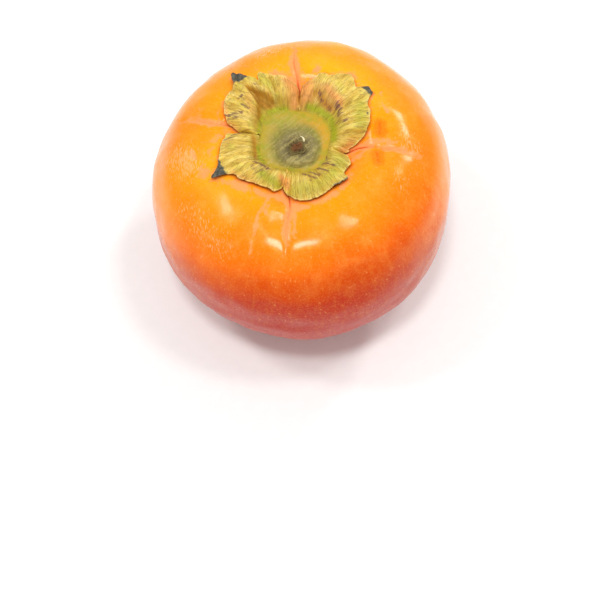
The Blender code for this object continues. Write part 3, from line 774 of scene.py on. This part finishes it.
def build_broken_stem(material):
    """The stump where the stem tore off: a low, rough plug with a ridge of torn wood across it."""
    low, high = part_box("stem_stub")
    middle_x, middle_y = (low.x + high.x) / 2, (low.y + high.y) / 2
    columns, rings = 90, 36
    share = np.linspace(0.03, 1, rings)[:, None]
    azimuth = np.arange(columns)[None, :] * 360 / columns
    dx, dy = level(share * (high.x - low.x) / 2, azimuth)
    flat = np.stack((dx, dy, 0 * dx), axis=-1)
    edge = 1 + 0.4 * rolling(flat[-1:], 1.5 * MM, seed=21)
    dx, dy = dx * edge, dy * edge
    lean = radians(32)
    along_ridge = dx * cos(lean) + dy * sin(lean)
    off_ridge = -dx * sin(lean) + dy * cos(lean)
    wedge = bell(off_ridge, 0.95 * MM) * smooth_step((along_ridge + 3.0 * MM) / (1.0 * MM))
    ridge = 0.8 * MM * wedge * (1 - share**4)
    rough = lumps(flat, ((0.6, 0.7), (0.4, 0.3)), seed=22)
    z = low.z + 0.3 * MM + (ridge + rough) * (1 - share**6) - 0.3 * MM * share**4
    points = np.stack((dx + middle_x, dy + middle_y, z), axis=-1)
    under = points[-1:].copy()
    under[..., 2] = low.z - 0.1 * MM
    points = np.concatenate((points, under))
    facts = {
        "ridge": np.concatenate((wedge * (1 - share**4), 0 * under[..., 2])),
        "outer": np.concatenate((share + 0 * dx, 1 + 0 * under[..., 2])),
    }
    flat, facts, faces = capped(points, facts, True, True)
    obj = add_piece("broken_stem", flat, faces, material, facts)
    stand_for(obj, "stem_stub")


def build_fibre(material):
    """A pale, hooked fibre that the torn stem left standing."""
    low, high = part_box("stem_stub")
    start_x, start_y = (low.x + high.x) / 2 + 1.75 * MM, (low.y + high.y) / 2 + 1.1 * MM
    steps, sides = 16, 12
    t = np.linspace(0, 1, steps)[:, None]
    side = np.arange(sides)[None, :] * 2 * pi / sides
    thick = 0.27 * MM * (1 - 0.4 * t) * (0.3 + 0.7 * smooth_step(t * 6))
    bend_x = start_x + (0.15 * np.sin(5 * t) - 0.7 * t) * MM
    bend_y = start_y + (1.75 * t) * MM
    bend_z = high.z - 0.75 * MM + 0.6 * MM * np.sin(pi * t)
    points = np.stack(
        (bend_x + thick * np.cos(side), bend_y + 0 * side, bend_z + 0.6 * thick * np.sin(side)), axis=-1
    )
    flat, _, faces = capped(points, {}, True, True)
    obj = add_piece("stem_fibre", flat, faces, material)
    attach(obj, "root")


def build_style(material):
    """The dried style in the dimple: a shrivelled point, ribbed and bent."""
    low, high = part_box("style_tip")
    columns, rings = 48, 26
    t = np.linspace(0, 1, rings)[:, None]
    azimuth = np.arange(columns)[None, :] * 360 / columns
    radius = 1.0 * MM * (1 - 0.75 * t**0.8) * (1 + 0.16 * np.cos(np.radians(azimuth * 5)) * (1 - t))
    dx, dy = level(radius, azimuth)
    z = high.z - (high.z - low.z) * t + 0 * dx
    bend = 0.12 * MM * np.sin(3 * t)
    x = dx + (low.x + high.x) / 2 + bend
    y = dy + (low.y + high.y) / 2
    points = np.stack((x, y, z), axis=-1)
    points += lumps(points, ((0.12, 0.5),), seed=31)[..., None] * np.array((1, 1, 0))
    flat, _, faces = capped(points, {}, True, True)
    obj = add_piece("dried_style", flat, faces, material)
    stand_for(obj, "style_tip")


# ---------------------------------------------------------------- materials


def linear(colour):
    """An sRGB hex colour as linear red, green, blue and alpha."""
    shares = [int(colour[n : n + 2], 16) / 255 for n in (1, 3, 5)]
    return (*(s / 12.92 if s <= 0.04045 else ((s + 0.055) / 1.055) ** 2.4 for s in shares), 1.0)


def add_node(tree, kind, inputs=None, stops=(), **settings):
    """Adds a node. An input given as an output is linked to it, and one given as another node is linked to
    that node's first output. A hex colour is turned to linear, and any other value is set. stops are a
    colour ramp's places and colours."""
    node = tree.nodes.new("ShaderNode" + kind)
    for name, value in settings.items():
        setattr(node, name, value)
    for key, value in (inputs or {}).items():
        if isinstance(value, bpy.types.Node):
            value = value.outputs[0]
        if isinstance(value, bpy.types.NodeSocket):
            tree.links.new(value, node.inputs[key])
        else:
            node.inputs[key].default_value = linear(value) if isinstance(value, str) else value
    for number, (place, colour) in enumerate(stops):
        ramp = node.color_ramp.elements
        element = ramp[number] if number < 2 else ramp.new(place)
        element.position = place
        element.color = linear(colour)
    return node


# A Mix node's sockets have names that repeat, so they go by number: these are the ones for colours.
FACTOR, FIRST, SECOND, MIXED = 0, 6, 7, 2


def lay_over(tree, ground, layers):
    """Lays colours over the ground, each as strongly as its share says. Returns the finished colour."""
    for share, colour in layers:
        inputs = {FACTOR: share, FIRST: ground, SECOND: colour}
        ground = add_node(tree, "Mix", inputs, data_type="RGBA").outputs[MIXED]
    return ground


def new_material(name, facts=()):
    """Makes a material. Returns it with its node tree, its shader and what reads these facts."""
    material = bpy.data.materials.new(name)
    material.use_nodes = True
    tree = material.node_tree
    read = {fact: add_node(tree, "Attribute", attribute_name=fact).outputs["Fac"] for fact in facts}
    return material, tree, tree.nodes["Principled BSDF"], read


def waxy_persimmon_skin():
    """Ripe persimmon skin, a natural wax on dense flesh: glossy but soft, deep red-orange low down and
    yellow-orange on the shoulders, with a peach-pink bloom round the calyx and along the creases."""
    material, tree, shader, facts = new_material(
        "waxy_persimmon_skin", ("bloom", "flank", "edge", "side", "crease", "scuff", "slit", "spot")
    )
    place = add_node(tree, "TexCoord").outputs["Object"]
    ray = add_node(tree, "Attribute", attribute_name="ray").outputs["Vector"]
    sides = add_node(tree, "SeparateXYZ", {"Vector": place}).outputs

    # Redder low down, partly riper and partly painted shade. Painted sheen lightens it to the left and back
    drift = add_node(tree, "TexNoise", {"Vector": place, "Scale": 1 / (16 * MM), "Detail": 3.0})
    drifted = add_node(tree, "Math", {0: drift, 1: 7 * MM, 2: sides["Z"]}, operation="MULTIPLY_ADD")
    lean_with_painted_sheen = add_node(tree, "Math", {0: sides["X"], 1: -0.03, 2: drifted}, operation="MULTIPLY_ADD")
    # The painted sheen towards the back grows towards the right
    painted_back_sheen = add_node(tree, "Math", {0: sides["X"], 1: 2.2, 2: 0.09}, operation="MULTIPLY_ADD")
    shaded = add_node(tree, "Math", {0: sides["Y"], 1: painted_back_sheen, 2: lean_with_painted_sheen}, operation="MULTIPLY_ADD")
    height = add_node(tree, "MapRange", {"Value": shaded, "From Min": 31.5 * MM, "From Max": 61.5 * MM})
    # Painted light: the low sides, but not the front, are moved towards yellow
    share = add_node(tree, "Math", {0: facts["side"], 1: 0.38, 2: height}, operation="MULTIPLY_ADD")
    ripeness = add_node(
        tree,
        "ValToRGB",
        {"Fac": share},
        stops=(
            (0.0, "#b81400"),
            (1.0, "#ffaa08"),
            (0.4, "#c42e00"),
            (0.6, "#de5200"),
            (0.72, "#f87400"),
            (0.83, "#fc8600"),
            (0.92, "#fe9600"),
        ),
    )

    # Streaks of paler cells, about 1 mm wide and 6 mm long, that run out from the calyx
    streak = add_node(tree, "TexNoise", {"Vector": ray, "Scale": 1.3, "Detail": 4.0, "Roughness": 0.65})
    streaks = add_node(
        tree, "MapRange", {"Value": streak, "From Min": 0.5, "From Max": 0.74, "To Max": 0.15}
    )

    # Milky wisps, where handling has smeared a thinner wax
    smears = add_node(
        tree, "TexNoise", {"Vector": place, "Scale": 1 / (4.5 * MM), "Detail": 6.0, "Roughness": 0.65}
    )
    smear = add_node(tree, "MapRange", {"Value": smears, "From Min": 0.48, "From Max": 0.72, "To Max": 0.24})
    high_up = add_node(tree, "MapRange", {"Value": sides["Z"], "From Min": 42 * MM, "From Max": 52 * MM})
    wisps = add_node(tree, "Math", {0: smear, 1: high_up}, operation="MULTIPLY")

    # Bloom, rubbed away in patches
    patches = add_node(
        tree,
        "TexNoise",
        {"Vector": place, "Scale": 1 / (3.2 * MM), "Detail": 5.0, "Roughness": 0.65, "Distortion": 0.5},
    )
    rubbed = add_node(tree, "Math", {0: patches, 1: 3.0, 2: -1.5}, operation="MULTIPLY_ADD")
    ragged = add_node(tree, "Math", {0: facts["bloom"], 1: rubbed}, operation="ADD")
    haze = add_node(tree, "MapRange", {"Value": ragged, "From Min": 0.42, "From Max": 0.86, "To Max": 0.9})

    # A thin haze on the flanks, with no edge, partly bloom and partly painted reflection of the floor
    haze_and_painted_rim_reflection = add_node(tree, "Math", {0: patches, 1: facts["flank"]}, operation="MULTIPLY")

    # Scuffs: strokes 0.3 mm wide and 1.1 mm long, from front to back, where other fruits rubbed
    stretched = add_node(
        tree,
        "Mapping",
        {"Vector": place, "Rotation": (0.0, 0.0, radians(35)), "Scale": (3400.0, 900.0, 1500.0)},
    )
    stroke = add_node(tree, "TexNoise", {"Vector": stretched, "Scale": 1.0, "Detail": 3.0})
    rubbing = add_node(tree, "Math", {0: facts["scuff"], 1: 0.34, 2: stroke}, operation="MULTIPLY_ADD")
    scuffs = add_node(
        tree, "MapRange", {"Value": rubbing, "From Min": 0.68, "From Max": 0.84, "To Max": 0.55}
    )

    # The soft spots round the pricks have no wax left
    frayed = add_node(tree, "Math", {0: patches, 1: 0.8, 2: facts["spot"]}, operation="MULTIPLY_ADD")
    bare = add_node(tree, "MapRange", {"Value": frayed, "From Min": 0.65, "From Max": 1.05, "To Max": 0.9})

    # Pale freckles in a few cells, about 1 mm wide and drawn out to 1.6 mm towards the blossom end
    drawn_out = add_node(tree, "Mapping", {"Vector": ray, "Scale": (1.3, 1.3, 5.0)})
    cells = add_node(tree, "TexVoronoi", {"Vector": drawn_out, "Scale": 1.0}).outputs
    chosen = add_node(tree, "SeparateColor", {"Color": cells["Color"]}).outputs["Red"]
    rare = add_node(tree, "Math", {0: chosen, 1: 0.74}, operation="GREATER_THAN")
    dot = add_node(tree, "MapRange", {"Value": cells["Distance"], "From Min": 0.24, "From Max": 0.1})
    freckle = add_node(tree, "Math", {0: dot, 1: rare}, operation="MULTIPLY")
    freckles = add_node(tree, "Math", {0: freckle, 1: 0.36}, operation="MULTIPLY")

    # Grey specks where the scuffs broke the skin
    grit = add_node(tree, "TexVoronoi", {"Vector": place, "Scale": 1 / (2.4 * MM)}).outputs
    picked = add_node(tree, "SeparateColor", {"Color": grit["Color"]}).outputs["Green"]
    speck_reach = add_node(tree, "Math", {0: picked, 1: 0.11, 2: -0.06}, operation="MULTIPLY_ADD")
    in_speck = add_node(tree, "Math", {0: grit["Distance"], 1: speck_reach}, operation="LESS_THAN")
    specks = add_node(tree, "Math", {0: in_speck, 1: facts["scuff"]}, operation="MULTIPLY")

    # Painted shade lines the creases' bottoms and comes and goes, and the healed pricks are faint
    broken = add_node(tree, "Math", {0: patches, 1: facts["crease"]}, operation="MULTIPLY")
    painted_crease_shade = add_node(tree, "MapRange", {"Value": broken, "From Min": 0.1, "From Max": 0.5, "To Max": 0.85})
    pricks = add_node(tree, "Math", {0: facts["slit"], 1: 0.6}, operation="MULTIPLY")

    # The pores are about 0.1 mm apart, and are drawn coarser so that they still show at this distance
    pores = add_node(
        tree, "TexNoise", {"Vector": place, "Scale": 1 / (0.45 * MM), "Detail": 3.0, "Roughness": 0.65}
    )
    grains = add_node(tree, "MapRange", {"Value": pores, "From Min": 0.48, "From Max": 0.68, "To Max": 0.16})

    # Painted shadow: the skin is darker where the sepals' margins lie over it
    painted_margin_shadow = add_node(tree, "Math", {0: facts["edge"], 1: 0.6}, operation="MULTIPLY")
    layers = (
        (streaks, "#ffa83c"),
        (wisps, "#ffae52"),
        (haze, "#fe9a5c"),
        (haze_and_painted_rim_reflection, "#ffb070"),
        (scuffs, "#ffbd86"),
        (bare, "#f27c00"),
        (freckles, "#ffb060"),
        (specks, "#8c6c5e"),
        (painted_crease_shade, "#d44e16"),
        (pricks, "#cc5404"),
        (grains, "#ffb668"),
        (painted_margin_shadow, "#dc6a1c"),
    )
    tree.links.new(lay_over(tree, ripeness, layers), shader.inputs["Base Color"])

    # The bloom is matt, and so is the skin low down
    low_down = add_node(
        tree,
        "MapRange",
        {"Value": sides["Z"], "From Min": 44 * MM, "From Max": 26 * MM, "To Min": 0.13, "To Max": 0.4},
    )
    dulled = add_node(tree, "Math", {0: haze, 1: 0.12, 2: low_down}, operation="MULTIPLY_ADD")
    gloss = add_node(tree, "Math", {0: pores, 1: 0.06, 2: dulled}, operation="MULTIPLY_ADD")
    tree.links.new(gloss.outputs[0], shader.inputs["Roughness"])
    waves = add_node(tree, "TexNoise", {"Vector": place, "Scale": 1 / (3.2 * MM), "Detail": 2.0})
    relief = add_node(tree, "Bump", {"Height": pores, "Distance": 0.04 * MM, "Strength": 0.8})
    for height, distance in ((streak, 0.1 * MM), (waves, 0.3 * MM)):
        inputs = {"Height": height, "Distance": distance, "Strength": 0.6, "Normal": relief}
        relief = add_node(tree, "Bump", inputs)
    tree.links.new(relief.outputs["Normal"], shader.inputs["Normal"])
    shader.inputs["IOR"].default_value = 1.36
    shader.inputs["Specular IOR Level"].default_value = 0.25
    shader.inputs["Specular Tint"].default_value = linear("#ffb052")
    shader.inputs["Coat Weight"].default_value = 0.3
    shader.inputs["Coat Roughness"].default_value = 0.15
    shader.inputs["Coat IOR"].default_value = 1.4
    shader.inputs["Subsurface Weight"].default_value = 0.15
    shader.inputs["Subsurface Radius"].default_value = (1.0, 0.35, 0.12)
    shader.inputs["Subsurface Scale"].default_value = 2.0 * MM
    return material


def leathery_dried_sepal():
    """A calyx lobe dried on the fruit to thin leather: straw yellow, with fine brown veins that fan out from
    its foot, still green where it folds up from the disc, and black where its tip has died."""
    material, tree, shader, facts = new_material(
        "leathery_dried_sepal", ("out", "stain", "blush", "shade", "green", "dry", "rim")
    )
    place = add_node(tree, "TexCoord").outputs["Object"]
    fan = add_node(tree, "Attribute", attribute_name="fan").outputs["Vector"]

    # Everything on the blade is drawn out along its veins: its clouds of paler straw are 1.4 mm wide
    drawn_out = add_node(tree, "Mapping", {"Vector": fan, "Scale": (1.0, 0.15, 1.0)})
    tone = add_node(tree, "TexNoise", {"Vector": drawn_out, "Scale": 0.7, "Detail": 4.0, "Roughness": 0.6})
    straw = add_node(
        tree, "ValToRGB", {"Fac": tone}, stops=((0.32, "#c0962c"), (0.7, "#f6dc80"), (0.5, "#dfbc50"))
    )
    cloud = add_node(tree, "TexNoise", {"Vector": place, "Scale": 1 / (3 * MM), "Detail": 3.0})
    greenish = add_node(tree, "MapRange", {"Value": cloud, "From Min": 0.5, "From Max": 0.72, "To Max": 0.5})
    # The foot is darker olive: partly its own green, partly painted shade under the disc's edge
    foot = add_node(
        tree, "MapRange", {"Value": facts["out"], "From Min": 0.34, "From Max": 0.08, "To Max": 0.75}
    )
    layers = [(greenish, "#d0c848"), (foot, "#a8900e")]
    mottled = add_node(tree, "Math", {0: tone, 1: 0.8, 2: -0.4}, operation="MULTIPLY_ADD")
    # shade is painted shade, over the blade's own browner colour
    for kind, most, tint in (
        ("blush", 0.9, "#e6984e"),
        ("shade", 0.85, "#b87a00"),
        ("green", 0.9, "#a2a600"),
        ("rim", 0.4, "#ecd888"),
    ):
        near = add_node(tree, "Math", {0: mottled, 1: facts[kind]}, operation="ADD")
        tinted = add_node(
            tree, "MapRange", {"Value": near, "From Min": 0.1, "From Max": 0.95, "To Max": most}
        )
        layers.append((tinted, tint))

    # A vein runs wherever a noise crosses its middle value. The noise is drawn out further still, and is
    # 0.3 mm wide.
    long = add_node(tree, "Mapping", {"Vector": fan, "Scale": (1.0, 0.08, 1.0)})
    veins = add_node(tree, "TexNoise", {"Vector": long, "Scale": 3.0, "Detail": 3.0, "Roughness": 0.6})
    from_vein = add_node(tree, "Math", {0: veins, 1: 0.5}, operation="SUBTRACT")
    off_vein = add_node(tree, "Math", {0: from_vein}, operation="ABSOLUTE")
    vein = add_node(
        tree, "MapRange", {"Value": off_vein, "From Min": 0.034, "From Max": 0.0, "To Max": 0.62}
    )

    # The purple-brown stains break up into flecks 0.3 mm wide
    fleck = add_node(tree, "TexNoise", {"Vector": drawn_out, "Scale": 3.2, "Detail": 2.0, "Roughness": 0.5})
    blotch = add_node(tree, "Math", {0: facts["stain"], 1: 0.4, 2: fleck}, operation="MULTIPLY_ADD")
    stained = add_node(
        tree, "MapRange", {"Value": blotch, "From Min": 0.72, "From Max": 0.86, "To Max": 0.75}
    )

    # Where a tip has died it is black and ash grey
    char = add_node(tree, "TexNoise", {"Vector": place, "Scale": 1 / (0.6 * MM), "Detail": 4.0})
    ash = add_node(tree, "ValToRGB", {"Fac": char}, stops=((0.3, "#2c2a22"), (0.7, "#6e6c5c")))
    layers += [(vein, "#7e5624"), (stained, "#643440"), (facts["dry"], ash)]
    tree.links.new(lay_over(tree, straw, layers), shader.inputs["Base Color"])
    relief = add_node(tree, "Bump", {"Height": vein, "Distance": 0.1 * MM, "Strength": 0.8}, invert=True)
    for height, distance, strength in ((tone, 0.5 * MM, 0.8), (char, 0.05 * MM, 0.6)):
        inputs = {"Height": height, "Distance": distance, "Strength": strength, "Normal": relief}
        relief = add_node(tree, "Bump", inputs)
    tree.links.new(relief.outputs["Normal"], shader.inputs["Normal"])
    shader.inputs["Roughness"].default_value = 0.6
    shader.inputs["IOR"].default_value = 1.45
    return material


def felted_calyx_heart():
    """The calyx's thick middle, grown with a short grey felt: dull olive yellow, greyer on the crown and
    green in places outside it, with pale flecks and faint rings of growth."""
    material, tree, shader, facts = new_material("felted_calyx_heart", ("from_stem", "golden", "tuft"))
    place = add_node(tree, "TexCoord").outputs["Object"]
    from_stem = facts["from_stem"]
    drift = add_node(tree, "TexNoise", {"Vector": place, "Scale": 1 / (3 * MM), "Detail": 3.0})
    ring = add_node(tree, "Math", {0: drift, 1: 2.0, 2: from_stem}, operation="MULTIPLY_ADD")
    share = add_node(tree, "MapRange", {"Value": ring, "From Min": 2.0, "From Max": 11.0})
    ground = add_node(
        tree,
        "ValToRGB",
        {"Fac": share},
        stops=(
            (0.0, "#54401a"),
            (1.0, "#a89406"),
            (0.16, "#60522a"),
            (0.34, "#7c7040"),
            (0.52, "#80762a"),
            (0.7, "#aa9234"),
            (0.86, "#b4981a"),
        ),
    )
    outer = add_node(tree, "MapRange", {"Value": from_stem, "From Min": 5.2, "From Max": 7.4})
    sunlit = add_node(tree, "Math", {0: facts["golden"], 1: outer}, operation="MULTIPLY")
    gilded = add_node(tree, "MapRange", {"Value": sunlit, "From Min": 0.35, "From Max": 0.95, "To Max": 0.8})

    # The edge is worn, and outside the crown the plate is still green in places
    worn = add_node(tree, "MapRange", {"Value": ring, "From Min": 8.6, "From Max": 10.8, "To Max": 0.9})
    cloud = add_node(tree, "TexNoise", {"Vector": place, "Scale": 1 / (2.2 * MM), "Detail": 3.0})
    cloudy = add_node(tree, "MapRange", {"Value": cloud, "From Min": 0.46, "From Max": 0.62, "To Max": 0.52})
    unripe = add_node(tree, "Math", {0: cloudy, 1: outer}, operation="MULTIPLY")

    # The felt lies brushed one way, in strands 0.7 mm wide
    brushed = add_node(
        tree,
        "Mapping",
        {"Vector": place, "Rotation": (0.0, 0.0, radians(42)), "Scale": (5 * MM, 0.7 * MM, 2 * MM)},
        vector_type="TEXTURE",
    )
    strands = add_node(tree, "TexNoise", {"Vector": brushed, "Scale": 1.0, "Detail": 4.0, "Roughness": 0.6})
    lying = add_node(tree, "Math", {0: strands, 1: 1.0, 2: -0.5}, operation="MULTIPLY_ADD")
    felt = add_node(
        tree, "TexNoise", {"Vector": place, "Scale": 1 / (0.35 * MM), "Detail": 4.0, "Roughness": 0.7}
    )
    brushed_felt = add_node(tree, "Math", {0: lying, 1: felt}, operation="ADD")

    # Rings of growth, 0.9 mm apart and broken by the felt
    wavy = add_node(tree, "Math", {0: drift, 1: 9.0}, operation="MULTIPLY")
    phase = add_node(tree, "Math", {0: from_stem, 1: 7.0, 2: wavy}, operation="MULTIPLY_ADD")
    rings = add_node(tree, "Math", {0: phase}, operation="SINE")
    felt_rings = add_node(tree, "Math", {0: rings, 1: 0.025, 2: brushed_felt}, operation="MULTIPLY_ADD")

    # Pale where it is thick: most in the tuft below the stem, and least on the golden part and the edge
    thick = felt_rings
    for where, more in ((facts["tuft"], 0.14), (gilded, -0.12), (worn, -0.16)):
        thick = add_node(tree, "Math", {0: where, 1: more, 2: thick}, operation="MULTIPLY_ADD")
    pale = add_node(tree, "MapRange", {"Value": thick, "From Min": 0.46, "From Max": 0.7, "To Max": 0.6})
    layers = ((gilded, "#cc9606"), (worn, "#a29006"), (unripe, "#8a9614"), (pale, "#b8a660"))
    tree.links.new(lay_over(tree, ground, layers), shader.inputs["Base Color"])
    relief = add_node(tree, "Bump", {"Height": felt_rings, "Distance": 0.14 * MM, "Strength": 0.8})
    tree.links.new(relief.outputs["Normal"], shader.inputs["Normal"])
    shader.inputs["Roughness"].default_value = 0.8
    shader.inputs["Sheen Weight"].default_value = 0.12
    shader.inputs["Sheen Roughness"].default_value = 0.5
    return material


def torn_stem_wood():
    """Green wood torn across and gone brown: dull, with dark cracks between the torn bundles."""
    material, tree, shader, facts = new_material("torn_stem_wood", ("ridge", "outer"))
    place = add_node(tree, "TexCoord").outputs["Object"]
    torn = add_node(tree, "TexNoise", {"Vector": place, "Scale": 1 / (0.6 * MM), "Detail": 4.0})
    wood = add_node(
        tree, "ValToRGB", {"Fac": torn}, stops=((0.3, "#2a1c0c"), (0.72, "#7a6a38"), (0.5, "#56441e"))
    )
    rust = add_node(
        tree, "MapRange", {"Value": facts["ridge"], "From Min": 0.1, "From Max": 0.6, "To Max": 0.8}
    )
    frayed = add_node(tree, "Math", {0: torn, 1: 0.9, 2: facts["outer"]}, operation="MULTIPLY_ADD")
    felt = add_node(tree, "MapRange", {"Value": frayed, "From Min": 1.05, "From Max": 1.3})
    layers = ((rust, "#7a4a20"), (felt, "#6e6030"))
    tree.links.new(lay_over(tree, wood, layers), shader.inputs["Base Color"])
    relief = add_node(tree, "Bump", {"Height": torn, "Distance": 0.2 * MM, "Strength": 0.8})
    tree.links.new(relief.outputs["Normal"], shader.inputs["Normal"])
    shader.inputs["Roughness"].default_value = 0.85
    return material


def dry_bast_fibre():
    """A stripped bast fibre, bleached by drying to a dull cream."""
    material, tree, shader, _ = new_material("dry_bast_fibre")
    place = add_node(tree, "TexCoord").outputs["Object"]
    strand = add_node(tree, "TexNoise", {"Vector": place, "Scale": 1 / (0.25 * MM), "Detail": 3.0})
    cream = add_node(tree, "ValToRGB", {"Fac": strand}, stops=((0.3, "#d8c88c"), (0.7, "#fbf3d0")))
    tree.links.new(cream.outputs["Color"], shader.inputs["Base Color"])
    relief = add_node(tree, "Bump", {"Height": strand, "Distance": 0.04 * MM})
    tree.links.new(relief.outputs["Normal"], shader.inputs["Normal"])
    shader.inputs["Roughness"].default_value = 0.6
    return material


def shrivelled_style():
    """The flower's style, withered to a hard black-brown point with a faint shine on its ribs."""
    material, tree, shader, _ = new_material("shrivelled_style")
    place = add_node(tree, "TexCoord").outputs["Object"]
    crust = add_node(tree, "TexNoise", {"Vector": place, "Scale": 1 / (0.4 * MM), "Detail": 4.0})
    dark = add_node(tree, "ValToRGB", {"Fac": crust}, stops=((0.3, "#17110c"), (0.75, "#5a4028")))
    tree.links.new(dark.outputs["Color"], shader.inputs["Base Color"])
    relief = add_node(tree, "Bump", {"Height": crust, "Distance": 0.1 * MM})
    tree.links.new(relief.outputs["Normal"], shader.inputs["Normal"])
    shader.inputs["Roughness"].default_value = 0.7
    return material


def matt_white_board():
    """White painted board, matt, with the least unevenness of its paint."""
    material, tree, shader, _ = new_material("matt_white_board")
    place = add_node(tree, "TexCoord").outputs["Object"]
    paint = add_node(tree, "TexNoise", {"Vector": place, "Scale": 1 / (3 * MM), "Detail": 2.0})
    white = add_node(tree, "ValToRGB", {"Fac": paint}, stops=((0.0, "#f2f2f1"), (1.0, "#f7f7f6")))
    tree.links.new(white.outputs["Color"], shader.inputs["Base Color"])
    shader.inputs["Roughness"].default_value = 0.9
    shader.inputs["Specular IOR Level"].default_value = 0.1
    return material


# ---------------------------------------------------------------- the studio

WORLD_STRENGTH = 0.58
SOFTBOX_DISTANCE = 0.95
# name, azimuth and elevation in degrees, size across in metres, and power in watts
SOFTBOXES = (
    ("front_softbox", -108, 77, 0.13, 2.9),
    ("left_softbox", 171, 60, 0.15, 1.8),
    ("back_softbox", 4, 73, 0.14, 1.6),
    ("right_softbox", 46, 37, 0.14, 1.9),
)
CAMERA_PLACE = (-0.35 * MM, -172.7 * MM, 347.9 * MM)
CAMERA_TILT = radians(24)  # from straight down
CAMERA_LENS = 80.88  # mm, on a sensor 36 mm wide


def build_floor():
    """A round board, wide enough that the fruit's sides mirror nothing else below the horizon."""
    columns, rings = 96, 8
    radius = np.linspace(0.02, 1.6, rings)[:, None]
    azimuth = np.arange(columns)[None, :] * 360 / columns
    x, y = level(radius, azimuth)
    points = np.stack((x, y, 0 * x), axis=-1)
    flat, _, faces = capped(points, {}, True, False)
    add_piece("studio_floor", flat, faces, matt_white_board())


def add_softbox(name, azimuth, elevation, size, power):
    """A round area light that looks at the fruit from this direction."""
    light = bpy.data.lights.new(name, "AREA")
    light.shape = "DISK"
    light.size = size
    light.energy = power
    obj = bpy.data.objects.new(name, light)
    x, y = level(SOFTBOX_DISTANCE * cos(radians(elevation)), azimuth)
    obj.location = (x, y, SOFTBOX_DISTANCE * sin(radians(elevation)) + EQUATOR_HEIGHT)
    obj.rotation_euler = (pi / 2 - radians(elevation), 0.0, radians(azimuth + 90))
    bpy.context.scene.collection.objects.link(obj)


def light_studio():
    """Plain soft light: a pale room and four softboxes high up, small enough to glint on the wax."""
    world = bpy.data.worlds.new("pale_room")
    world.use_nodes = True
    background = world.node_tree.nodes["Background"]
    background.inputs["Color"].default_value = (1.0, 1.0, 1.0, 1.0)
    background.inputs["Strength"].default_value = WORLD_STRENGTH
    bpy.context.scene.world = world
    for softbox in SOFTBOXES:
        add_softbox(*softbox)


def add_camera():
    """A camera at a steep angle over the fruit, so that the calyx is seen whole."""
    camera = bpy.data.cameras.new("camera")
    camera.sensor_width = 36.0
    camera.lens = CAMERA_LENS
    obj = bpy.data.objects.new("camera", camera)
    obj.location = CAMERA_PLACE
    obj.rotation_euler = (CAMERA_TILT, 0.0, 0.0)
    bpy.context.scene.collection.objects.link(obj)
    bpy.context.scene.camera = obj


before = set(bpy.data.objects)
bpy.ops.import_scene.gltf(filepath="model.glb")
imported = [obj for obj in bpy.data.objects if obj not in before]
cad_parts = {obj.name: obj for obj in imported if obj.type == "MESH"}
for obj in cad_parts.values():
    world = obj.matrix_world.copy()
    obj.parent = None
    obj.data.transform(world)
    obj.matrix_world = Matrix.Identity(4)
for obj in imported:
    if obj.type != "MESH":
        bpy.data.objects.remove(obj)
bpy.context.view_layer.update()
AXIS_X, AXIS_Y = fruit_axis()
DISC_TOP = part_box("calyx_disc")[0].z + DISC_THICKNESS

build_fruit(waxy_persimmon_skin())
sepal_leather = leathery_dried_sepal()
for sepal in SEPALS:
    build_sepal(sepal, sepal_leather)
build_disc(felted_calyx_heart())
build_broken_stem(torn_stem_wood())
build_fibre(dry_bast_fibre())
build_style(shrivelled_style())
build_floor()
light_studio()
add_camera()
bpy.context.scene.view_settings.view_transform = "Standard"
